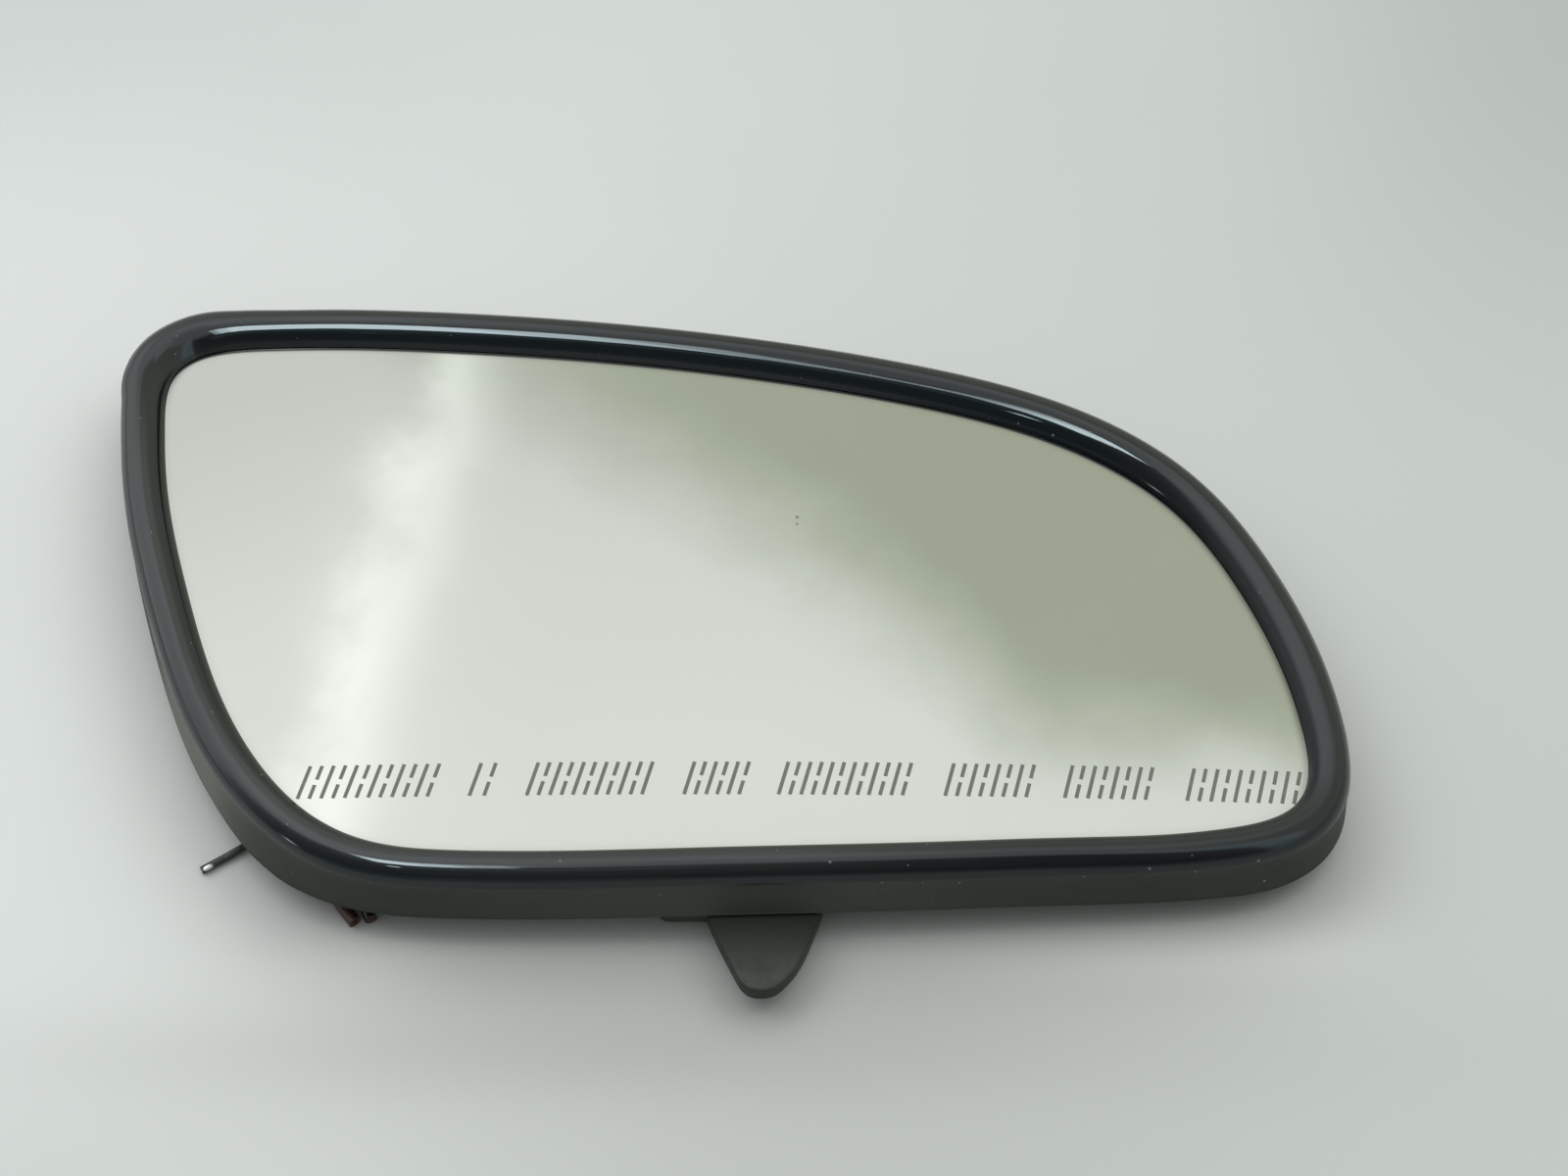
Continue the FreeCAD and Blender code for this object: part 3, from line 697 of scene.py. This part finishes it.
# ---- materials -----------------------------------------------------------------------------------
def gloss_black():
    m = Mat("gloss_black_plastic")
    flow = m.attr("flow")
    fx, fy, place = m.xyz(flow)
    round_a = fy.m("ARCTAN2", fx) * 63.66198            # -200..200, 0 at the right
    round_b = (fy * -1.0).m("ARCTAN2", fx * -1.0) * 63.66198   # 0 at the left
    px, py, pz = m.xyz()
    haze = m.noise(55.0, 4.0, 0.55)
    wide = m.noise(17.0, 3.0, 0.5)
    streak = m.noise(1.0, 3.0, 0.6, vec=m.scaled(flow, 0.03, 0.03, 3.2))
    fine = m.noise(1.0, 2.0, 0.5, vec=m.scaled(flow, 0.12, 0.12, 9.0))
    grain = m.noise(900.0, 2.0, 0.6)
    # the skirt is satin, the roll is polished
    satin = place.step(9.3, 10.9)
    # dust: fine specks everywhere, a few larger ones, some flakes along the lower edge
    d, c = m.voronoi(1050.0)
    r, g, b = m.red(c)
    speck = d.step(0.16, 0.08) * r.step(0.965, 0.98)
    d2, c2 = m.voronoi(330.0)
    r2, g2, b2 = m.red(c2)
    big = d2.step(0.08, 0.05) * r2.step(0.955, 0.97)
    dust = (speck * 0.55 + big * 0.4).min(1.0)
    for spot, size in (((8.6, -83.96, 10.28), 0.24), ((15.16, -83.03, 10.58), 0.2), ((20.99, -81.75, 10.88), 0.3),
                       ((40.08, -74.28, 10.28), 0.22), ((49.07, -68.67, 9.0), 0.34), ((54.81, -64.18, 10.28), 0.24),
                       ((61.98, -57.29, 9.67), 0.3), ((62.87, -56.31, 15.1), 0.32), ((75.5, 37.72, 1.21), 0.3),
                       ((72.31, 43.53, 1.21), 0.22)):
        dust = dust.max(m.near(flow, spot, size * 0.35, size) * 0.62)
    # films: soft dust in the lip's corner; a painted sheen over the left end and the lower roll, a paler base colour
    # broken up by noise
    toe = place.step(1.9, 0.0) * (round_a - 100.0).m("ABSOLUTE").step(76.0, 34.0)
    toe = toe * 1.15 + place.step(0.5, 0.0) * 0.12
    # painted sheen: the roll over the left end and the lower roll is painted paler
    painted_sheen_left = round_b.m("ABSOLUTE").step(44.0, 24.0) * place.step(3.5, 4.3) * place.step(6.6, 5.2)
    painted_sheen_lower = (round_a + 132.0).m("ABSOLUTE").step(62.0, 18.0) * place.gauss(5.6, 2.0)
    film = toe * 0.8 + (painted_sheen_left * 0.62 + painted_sheen_lower * 0.5) * (wide * 0.5 + 0.75) + haze.step(0.45, 0.75) * streak.step(0.4, 0.75) * 0.10
    base = m.mix(film.min(1.0), (0.0062, 0.0066, 0.0076), (0.047, 0.046, 0.047))
    skirt = m.mix(streak.step(0.3, 0.75), (0.0245, 0.0265, 0.0215), (0.0295, 0.032, 0.026))
    # painted light: the front of the skirt, most of all its middle, is painted paler in place of light from the table
    painted_light_front = py.step(-0.028, -0.042)
    skirt = m.mix(painted_light_front * 0.8, skirt, (0.038, 0.041, 0.034))
    skirt = m.mix(painted_light_front * px.gauss(0.006, 0.034) * 0.9, skirt, (0.066, 0.071, 0.060))
    # painted reflection: a pale spot on the left end of the skirt, painted in place of the bright table's reflection
    pale_tone = (px + 0.079).gauss(0.0, 0.013) * (py + 0.024).gauss(0.0, 0.015)
    skirt = m.mix((pale_tone * 1.25).min(0.85), skirt, (0.17, 0.18, 0.155))
    base = m.mix(satin, base, skirt)
    base = m.mix(dust, base, (0.34, 0.35, 0.34))
    # finish of the roll: sharpest on the upper inner slope and the lower outer one
    up_in = py.step(0.004, 0.02) * place.step(5.4, 4.2)
    low_out = py.step(-0.024, -0.034) * place.step(5.6, 6.6)
    polish = up_in.max(low_out).min(1.0)
    rough = 0.15 + haze.step(0.35, 0.8, -0.02, 0.04) + streak.step(0.42, 0.8, 0.0, 0.06) + py.step(-0.005, -0.03) * 0.12
    rough = rough * (1.0 - polish) + polish * (0.048 + haze.step(0.4, 0.8, 0.0, 0.02))
    rough = rough.max((py + 0.02).step(0.0, 0.02) * place.step(6.6, 8.6) * 0.34)
    rough = rough * (1.0 - satin) + satin * (0.62 + haze.step(0.3, 0.8, -0.05, 0.06))
    n = m.bump(fine, 0.05, 0.00002)
    n = m.bump(m.noise(140.0, 2.0, 0.5), 0.10, 0.00005, n)
    n = m.bump(grain * satin, 0.22, 0.00003, n)
    n = m.bump(dust, 0.35, 0.00008, n)
    # duller moulded band inside the right end
    dull = (round_a + 18.0).m("ABSOLUTE").step(34.0, 14.0) * place.step(3.4, 2.2)
    level = (0.5 - dull * 0.3) * (1.0 - satin * 0.4)
    m.set(Base_Color=base, Roughness=rough + dust * 0.4, Normal=n, Specular_IOR_Level=level,
          Specular_Tint=m.mix(satin, (0.88, 0.97, 1.0), (1.0, 1.0, 0.94)))
    m.bsdf.inputs["IOR"].default_value = 1.5
    return m.mat


def mirror_front():
    m = Mat("silvered_glass")
    smear = m.noise(26.0, 5.0, 0.6, dist=0.6)
    fine = m.noise(900.0, 2.0, 0.6)
    d, c = m.voronoi(260.0)
    r, g, b = m.red(c)
    pit = d.step(0.05, 0.025) * r.step(0.965, 0.97)
    film = smear.step(0.52, 0.8) * 0.5
    col = m.mix(film, (0.414, 0.430, 0.404), (0.430, 0.446, 0.420))
    col = m.mix(pit, col, (0.12, 0.13, 0.115))
    for spot, size in (((0.01352, 0.01405, 0.0149), 0.00035), ((0.01350, 0.01270, 0.0149), 0.00028)):
        col = m.mix(m.near(m.obj, spot, size * 0.5, size) * 0.75, col, (0.10, 0.11, 0.095))
    # painted shade: darker next to the lip, where the lip keeps the light off the silvering
    col = m.mix(m.attr_value("painted_lip_shade"), col, (0.012, 0.013, 0.012))
    m.set(Base_Color=col, Roughness=smear.step(0.4, 0.85, 0.012, 0.035) + fine * 0.004 + pit * 0.3,
          Metallic=1.0)
    return m.mat


def glass_edge():
    m = Mat("ground_glass_edge")
    g = m.noise(420.0, 3.0, 0.6)
    m.set(Base_Color=m.mix(g, (0.05, 0.075, 0.065), (0.12, 0.16, 0.14)), Roughness=g.step(0.2, 0.8, 0.35, 0.6),
          Normal=m.bump(g, 0.3, 0.00005))
    return m.mat


def etched():
    m = Mat("etched_glass")
    g = m.noise(700.0, 3.0, 0.6)
    h = m.noise(60.0, 2.0, 0.5)
    m.set(Base_Color=m.mix(g * 0.6 + h * 0.4, (0.085, 0.095, 0.083), (0.16, 0.172, 0.155)), Roughness=0.6,
          Normal=m.bump(g, 0.25, 0.00003))
    return m.mat


def moulded(name, dark, light, rough, grain=1500.0, dust=None, dusty=0.0):
    """Moulded plastic: fine spark-eroded grain, slow shade changes, a little dust on the upward faces."""
    m = Mat(name)
    g = m.noise(grain, 2.0, 0.6)
    slow = m.noise(38.0, 4.0, 0.6)
    mid = m.noise(190.0, 4.0, 0.65)
    col = m.mix(slow.step(0.3, 0.72), dark, light)
    if dust is not None:
        nx, ny, nz = m.normal_xyz()
        up = nz.step(0.2, 0.9)
        col = m.mix(up * mid.step(0.42, 0.75) * dusty, col, dust)
    d, c = m.voronoi(520.0)
    r, q, b = m.red(c)
    speck = d.step(0.12, 0.07) * r.step(0.95, 0.97)
    col = m.mix(speck * 0.5, col, (0.3, 0.3, 0.28))
    n = m.bump(g, 0.35, 0.00004)
    n = m.bump(mid, 0.15, 0.00012, n)
    m.set(Base_Color=col, Roughness=slow.step(0.3, 0.75, rough - 0.06, rough + 0.08), Normal=n)
    return m.mat


def lever_plastic():
    m = Mat("lever_plastic")
    g = m.noise(1300.0, 2.0, 0.6)
    slow = m.noise(60.0, 4.0, 0.6)
    mid = m.noise(300.0, 4.0, 0.7)
    x, y, z = m.xyz()
    nx, ny, nz = m.normal_xyz()
    near_tip = y.step(-0.0575, -0.0645) * nz.step(0.3, 0.9)
    col = m.mix(slow.step(0.3, 0.72), (0.024, 0.0275, 0.0225), (0.032, 0.0360, 0.0300))
    dusty = near_tip * mid.step(0.3, 0.7)
    col = m.mix(dusty * 0.7, col, (0.062, 0.068, 0.058))
    d, c = m.voronoi(620.0)
    r, q, b = m.red(c)
    speck = d.step(0.14, 0.07) * r.step(0.9, 0.95)
    col = m.mix(speck * 0.5 * nz.step(0.2, 0.8), col, (0.26, 0.27, 0.24))
    dark = d.step(0.35, 0.1) * q.step(0.86, 0.9) * near_tip
    col = m.mix(dark * 0.5, col, (0.02, 0.021, 0.018))
    n = m.bump(g, 0.4, 0.00004)
    n = m.bump(mid, 0.3, 0.00012, n)
    m.set(Base_Color=col, Roughness=slow.step(0.3, 0.75, 0.5, 0.64), Normal=n)
    m.bsdf.inputs["Specular IOR Level"].default_value = 0.3
    return m.mat


def vinyl(name, dark, light, rough=0.38, pale_tone=None):
    m = Mat(name)
    g = m.noise(800.0, 3.0, 0.6)
    slow = m.noise(130.0, 3.0, 0.6)
    col = m.mix(slow.step(0.3, 0.75), dark, light)
    if pale_tone is not None:
        # paler patches on the upward faces: partly wear, partly a painted highlight
        nx, ny, nz = m.normal_xyz()
        col = m.mix(nz.step(0.1, 1.0) * g.step(0.45, 0.75) * 0.35, col, pale_tone)
    m.set(Base_Color=col, Roughness=slow.step(0.3, 0.75, rough - 0.06, rough + 0.1),
          Normal=m.bump(g, 0.3, 0.00005))
    return m.mat


def metal(name, a, b, rough, stain=None):
    m = Mat(name)
    g = m.noise(500.0, 4.0, 0.6)
    lines = m.noise(1.0, 3.0, 0.5, vec=m.scaled(m.obj, 300.0, 4000.0, 300.0))
    slow = m.noise(160.0, 4.0, 0.6)
    col = m.mix(slow.step(0.35, 0.7), a, b)
    if stain is not None:
        col = m.mix(g.step(0.55, 0.75) * 0.6, col, stain)
    m.set(Base_Color=col, Metallic=1.0, Roughness=slow.step(0.3, 0.75, rough - 0.05, rough + 0.15),
          Normal=m.bump(lines, 0.12, 0.00003))
    return m.mat


def foil():
    """Heating foil: pale film with printed conductor lines that run to and fro."""
    m = Mat("heating_foil")
    x, y, z = m.xyz()
    w = m.new("ShaderNodeTexWave", wave_type="BANDS", bands_direction="Y", wave_profile="SIN")
    m.put(w.inputs["Vector"], m.obj)
    w.inputs["Scale"].default_value = 75.0
    w.inputs["Distortion"].default_value = 0.0
    wave = X(m.t, w.outputs["Fac"])
    line = wave.step(0.48, 0.56)
    g = m.noise(400.0, 4.0, 0.6)
    slow = m.noise(30.0, 3.0, 0.5)
    film = m.mix(slow.step(0.3, 0.7), (0.42, 0.40, 0.33), (0.5, 0.48, 0.41))
    col = m.mix(line, film, (0.30, 0.31, 0.31))
    m.set(Base_Color=col, Metallic=line * 0.75, Roughness=g.step(0.2, 0.8, 0.28, 0.5),
          Normal=m.bump(line + g * 0.3, 0.3, 0.00008))
    return m.mat


def copper(name, a, b):
    m = Mat(name)
    g = m.noise(900.0, 3.0, 0.6)
    m.set(Base_Color=m.mix(g.step(0.3, 0.7), a, b), Metallic=0.85, Roughness=g.step(0.2, 0.8, 0.3, 0.5),
          Normal=m.bump(g, 0.2, 0.00003))
    return m.mat


def assign(obj, mat):
    me = obj.data
    if len(me.materials) == 0:
        me.materials.append(mat)
    for i in range(len(obj.material_slots)):
        obj.material_slots[i].link = "OBJECT"
        obj.material_slots[i].material = mat


GLOSS = gloss_black()
for o in (surround, snaps):
    o.data.materials.append(GLOSS)
plate.data.materials.append(mirror_front())
plate.data.materials.append(glass_edge())
plate.data.polygons.foreach_set("material_index", plate_idx)
marks.data.materials.append(etched())
black.data.materials.append(vinyl("black_insulation", (0.012, 0.011, 0.010), (0.028, 0.024, 0.021), 0.34, (0.10, 0.095, 0.09)))
brown.data.materials.append(vinyl("brown_insulation", (0.030, 0.014, 0.009), (0.075, 0.030, 0.017), 0.42, (0.16, 0.09, 0.06)))
thin.data.materials.append(vinyl("dark_insulation", (0.014, 0.015, 0.016), (0.032, 0.033, 0.034), 0.36, (0.16, 0.165, 0.16)))
black_core.data.materials.append(copper("copper_dull", (0.10, 0.055, 0.04), (0.2, 0.11, 0.075)))
brown_core.data.materials.append(copper("copper_dark", (0.08, 0.035, 0.022), (0.16, 0.08, 0.05)))
thin_core.data.materials.append(copper("tinned_copper", (0.55, 0.53, 0.5), (0.75, 0.73, 0.7)))

nodes = {o.get("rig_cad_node", o.name): o for o in bpy.context.scene.objects if "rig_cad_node" in o}
carrier = moulded("carrier_plastic", (0.020, 0.021, 0.021), (0.030, 0.031, 0.030), 0.5,
                  dust=(0.11, 0.112, 0.10), dusty=0.25)
lever = lever_plastic()
brass = metal("tin_plated_brass", (0.62, 0.56, 0.42), (0.68, 0.64, 0.54), 0.28, (0.3, 0.22, 0.13))
blade = metal("tin_plated_blade", (0.62, 0.60, 0.55), (0.7, 0.69, 0.64), 0.26, (0.33, 0.29, 0.22))
sleeve = vinyl("sleeve_vinyl", (0.020, 0.021, 0.023), (0.034, 0.035, 0.038), 0.42, (0.09, 0.09, 0.088))
foil_mat = foil()
for name, mat in (("heater_foil", foil_mat), ("backing_plate", carrier), ("locking_ring", lever),
                  ("black_tab", blade), ("brown_tab", blade), ("thin_tab", blade),
                  ("black_terminal", brass), ("brown_terminal", brass), ("thin_terminal", brass),
                  ("black_sleeve", sleeve), ("brown_sleeve", sleeve), ("thin_sleeve", sleeve)):
    assign(nodes[name], mat)

# ---- table, world and lamp -----------------------------------------------------------------------


def build_table():
    n = 20
    x0, x1, y0, y1 = -0.21, 0.23, -0.17, 0.22
    co, faces = [], []
    for j in range(n + 1):
        for i in range(n + 1):
            co.append((x0 + (x1 - x0) * i / n, y0 + (y1 - y0) * j / n, 0.0))
    for j in range(n):
        for i in range(n):
            a = j * (n + 1) + i
            faces.append((a, a + 1, a + n + 2, a + n + 1))
    obj = mesh_from("table_top", co, faces)
    m = Mat("table_top")
    x, y, z = m.xyz()
    cloud = m.noise(9.0, 4.0, 0.5)
    fine = m.noise(700.0, 3.0, 0.6)
    # painted light: the table top is painted brighter to the left and darker to the right
    shade = x.step(0.16, -0.16)
    col = m.mix(shade, (0.515, 0.541, 0.514), (0.680, 0.706, 0.697))
    # painted shadow: a soft dark patch on the table in front of the surround
    col = m.mix(x.gauss(0.018, 0.085) * y.gauss(-0.092, 0.040) * 0.55, col, (0.40, 0.42, 0.40))
    # painted shade: darker towards the upper left corner
    col = m.mix((y - 0.02).step(0.05, 0.17) * (x + 0.06).step(0.06, -0.10) * 0.5, col, (0.62, 0.66, 0.65))
    # painted shadow: a darker band on the table in front of the surround's lower edge
    col = m.mix(x.gauss(-0.008, 0.082) * y.gauss(-0.0735, 0.0085) * 0.34, col, (0.30, 0.315, 0.30))
    # painted light: a pale strip on the table right under the surround's front edge, lifting its shadow
    col = m.mix(x.step(-0.068, -0.044) * x.step(0.112, 0.058) * y.gauss(-0.0553, 0.0055) * 0.72, col, (0.90, 0.93, 0.90))
    # painted shade: darker towards the upper left, upper right and lower left corners
    col = m.mix(y.step(0.082, 0.15) * x.step(0.03, -0.13) * 0.42, col, (0.45, 0.475, 0.455))
    col = m.mix(x.step(0.08, 0.16) * y.step(0.02, 0.14) * 0.36, col, (0.30, 0.315, 0.30))
    col = m.mix(x.step(-0.05, -0.10) * y.step(-0.065, -0.10) * 0.30, col, (0.45, 0.475, 0.455))
    col = m.mix(cloud.step(0.35, 0.65) * 0.08, col, (0.46, 0.475, 0.45))
    m.set(Base_Color=col, Roughness=0.62, Normal=m.bump(fine, 0.06, 0.00006))
    m.bsdf.inputs["Specular IOR Level"].default_value = 0.25
    obj.data.materials.append(m.mat)
    return obj


table_top = build_table()


def ramp(tree, value, stops, lo, hi):
    """Value of a line through stops [(place, value)], linear between them, over lo to hi."""
    n = tree.nodes.new("ShaderNodeMapRange")
    tree.links.new(value.v, n.inputs["Value"])
    n.inputs["From Min"].default_value = lo
    n.inputs["From Max"].default_value = hi
    c = tree.nodes.new("ShaderNodeFloatCurve")
    tree.links.new(n.outputs["Result"], c.inputs["Value"])
    top = max(v for _, v in stops)
    cv = c.mapping.curves[0]
    c.mapping.use_clip = False
    pts = [((p - lo) / (hi - lo), v / top) for p, v in stops]
    cv.points[0].location = pts[0]
    cv.points[1].location = pts[-1]
    for q in pts[1:-1]:
        cv.points.new(*q)
    for q in cv.points:
        q.handle_type = "AUTO_CLAMPED"
    c.mapping.update()
    return X(tree, c.outputs[0]) * top


def build_world():
    w = bpy.data.worlds.new("studio")
    bpy.context.scene.world = w
    w.use_nodes = True
    t = w.node_tree
    t.nodes.clear()
    tc = t.nodes.new("ShaderNodeTexCoord")
    sep = t.nodes.new("ShaderNodeSeparateXYZ")
    t.links.new(tc.outputs["Generated"], sep.inputs[0])
    x, y, z = (X(t, o) for o in sep.outputs)
    az = x.m("ARCTAN2", y) * 57.29578          # 0 away from the camera, 90 to the right
    el = z.m("ARCSINE") * 57.29578
    nz = t.nodes.new("ShaderNodeTexNoise")
    t.links.new(tc.outputs["Generated"], nz.inputs["Vector"])
    nz.inputs["Scale"].default_value = 16.0
    nz.inputs["Detail"].default_value = 5.0
    nz.inputs["Roughness"].default_value = 0.55
    cloud = X(t, nz.outputs["Fac"]) - 0.5
    # round the horizon, low down
    side = ramp(t, az, [(-180, 0.17), (-150, 0.17), (-122, 0.2), (-106, 0.34), (-94, 0.8), (-82, 1.6),
                        (-60, 1.8), (-38, 1.72), (-20, 1.6), (-8, 1.54), (20, 1.54), (60, 1.3), (90, 1.05),
                        (112, 1.0), (122, 1.35), (136, 1.3), (145, 0.32), (160, 0.18), (180, 0.17)], -180, 180)
    low = az.step(-75, -35, 0.95, 0.40)
    fall = el.step(0.0, 34.0, low, 1.0)
    # height under which the darker wall lies
    wall_top = ramp(t, az, [(-180, 0.1), (-48, 0.1), (-34, 14.0), (-24, 31.0), (-16, 40.5), (-10.5, 45.5), (-3, 49.6),
                            (5, 53.2), (10, 55.4), (17, 57.0), (28, 55.0), (36, 57.0), (46, 72.0), (100, 72.0),
                            (112, 60.0), (120, 1.0), (180, 0.1)], -180, 180)
    soft = az.step(4.0, 16.0, 1.0, 0.68)
    edge = ((el - wall_top + cloud * 3.0) / soft).step(-3.4, 4.2)
    wall = az.step(-30, 10, 0.94, 0.86) * el.step(0.0, 26.0, 0.66, 1.0)
    dip = az.step(-34, -26) * az.step(6, -4) * el.step(54.0, 43.0)
    pale = side * fall * (1.0 - dip * 0.17)
    lum = edge * pale + (1.0 - edge) * wall.min(side * 1.0)
    # softer and brighter low zone just above the wall's edge on the far side
    lum = lum * (1.0 + (el.gauss(60.0, 4.5) * az.gauss(-5.0, 24.0)) * 0.07)
    # bright streak
    e45 = el - 45.0
    az_c = e45 * e45 * -0.02 + e45 * -0.62 - 12.0
    half = e45 * 0.10 + 1.75
    off = (az - az_c + cloud * 5.0) / half
    streak = (off * off * -1.0).exp() * el.step(26.0, 40.0) * el.step(84.0, 66.0)
    wide = ((az - az_c) / 7.5)
    glow = (wide * wide * -1.0).exp() * el.step(26.0, 40.0) * el.step(84.0, 66.0)
    lum = lum + streak * (cloud * 0.9 + 0.46) + glow * 0.05
    # camera's side: a little lighter near the table, a bluish patch under the lamp, one low bright slit
    behind = (az.m("ABSOLUTE") - 118.0).step(0.0, 20.0)
    lum = lum + behind * el.step(18.0, 2.0) * 0.22
    patch = az.step(-112.0, -124.0) * el.gauss(58.5, 4.2)
    lum = lum + patch * 0.40
    slit = az.gauss(-118.0, 2.6) * el.gauss(2.0, 3.0)
    lum = lum + slit * 6.0
    # overhead
    over = el.step(66.0, 82.0)
    lum = lum * (1.0 - over) + over * 1.15
    dim = el.step(-4.0, 2.0)
    lum = lum * dim + (1.0 - dim) * 0.5
    olive = (1.0 - edge) * az.step(-30, 0) * az.step(110, 90)
    mixn = t.nodes.new("ShaderNodeMix")
    mixn.data_type = "RGBA"
    t.links.new(olive.v, mixn.inputs[0])
    mixn.inputs[6].default_value = (0.985, 1.0, 0.985, 1)
    mixn.inputs[7].default_value = (0.935, 1.0, 0.815, 1)
    cool = t.nodes.new("ShaderNodeMix")
    cool.data_type = "RGBA"
    t.links.new((behind * az.step(150.0, 128.0) * az.step(-179.0, -158.0) * el.step(72.0, 60.0)).max(patch).v, cool.inputs[0])
    t.links.new(mixn.outputs[2], cool.inputs[6])
    cool.inputs[7].default_value = (0.62, 0.93, 1.0, 1)
    bg = t.nodes.new("ShaderNodeBackground")
    t.links.new(cool.outputs[2], bg.inputs["Color"])
    t.links.new(lum.v, bg.inputs["Strength"])
    plain = t.nodes.new("ShaderNodeBackground")
    plain.inputs["Color"].default_value = (0.62, 0.645, 0.635, 1)
    plain.inputs["Strength"].default_value = 1.0
    lp = t.nodes.new("ShaderNodeLightPath")
    # what matt surfaces get: mostly light that comes over the far edge of the table
    far = az.m("ABSOLUTE").step(112.0, 68.0)
    room = 0.30 + far * (el.step(22.0, 40.0) * el.step(68.0, 58.0) * az.step(80.0, -80.0, 1.6, 2.2) + 0.45)
    room = (room + el.step(55.0, 75.0) * 0.35) * dim + (1.0 - dim) * 0.42
    matt = t.nodes.new("ShaderNodeBackground")
    matt.inputs["Color"].default_value = (0.985, 1.0, 0.99, 1)
    t.links.new(room.v, matt.inputs["Strength"])
    two = t.nodes.new("ShaderNodeMixShader")
    t.links.new(lp.outputs["Is Glossy Ray"], two.inputs[0])
    t.links.new(matt.outputs[0], two.inputs[1])
    t.links.new(bg.outputs[0], two.inputs[2])
    mx = t.nodes.new("ShaderNodeMixShader")
    t.links.new(lp.outputs["Is Camera Ray"], mx.inputs[0])
    t.links.new(two.outputs[0], mx.inputs[1])
    t.links.new(plain.outputs[0], mx.inputs[2])
    out = t.nodes.new("ShaderNodeOutputWorld")
    t.links.new(mx.outputs[0], out.inputs[0])


build_world()

# ceiling panel to the left: bright part, then two weaker strips towards the middle of the room
for name, x0, x1, y0, y1, lum in (("panel_a", -0.81, -0.52, -0.75, -0.10, 14.0), ("panel_b", -0.52, -0.40, -0.75, -0.10, 10.0),
                                  ("panel_c", -0.40, -0.30, -0.75, -0.10, 5.0), ("panel_d", -0.93, -0.81, -1.53, -1.37, 13.0)):
    la = bpy.data.lights.new(name, "AREA")
    la.shape = "RECTANGLE"
    la.size = x1 - x0
    la.size_y = y1 - y0
    la.color = (0.88, 0.97, 1.0)
    la.energy = lum * math.pi * la.size * la.size_y
    lamp = link(bpy.data.objects.new(name, la))
    lamp.location = ((x0 + x1) / 2, (y0 + y1) / 2, 2.0)
    lamp.visible_camera = False
    lamp.visible_diffuse = False

bpy.context.view_layer.update()
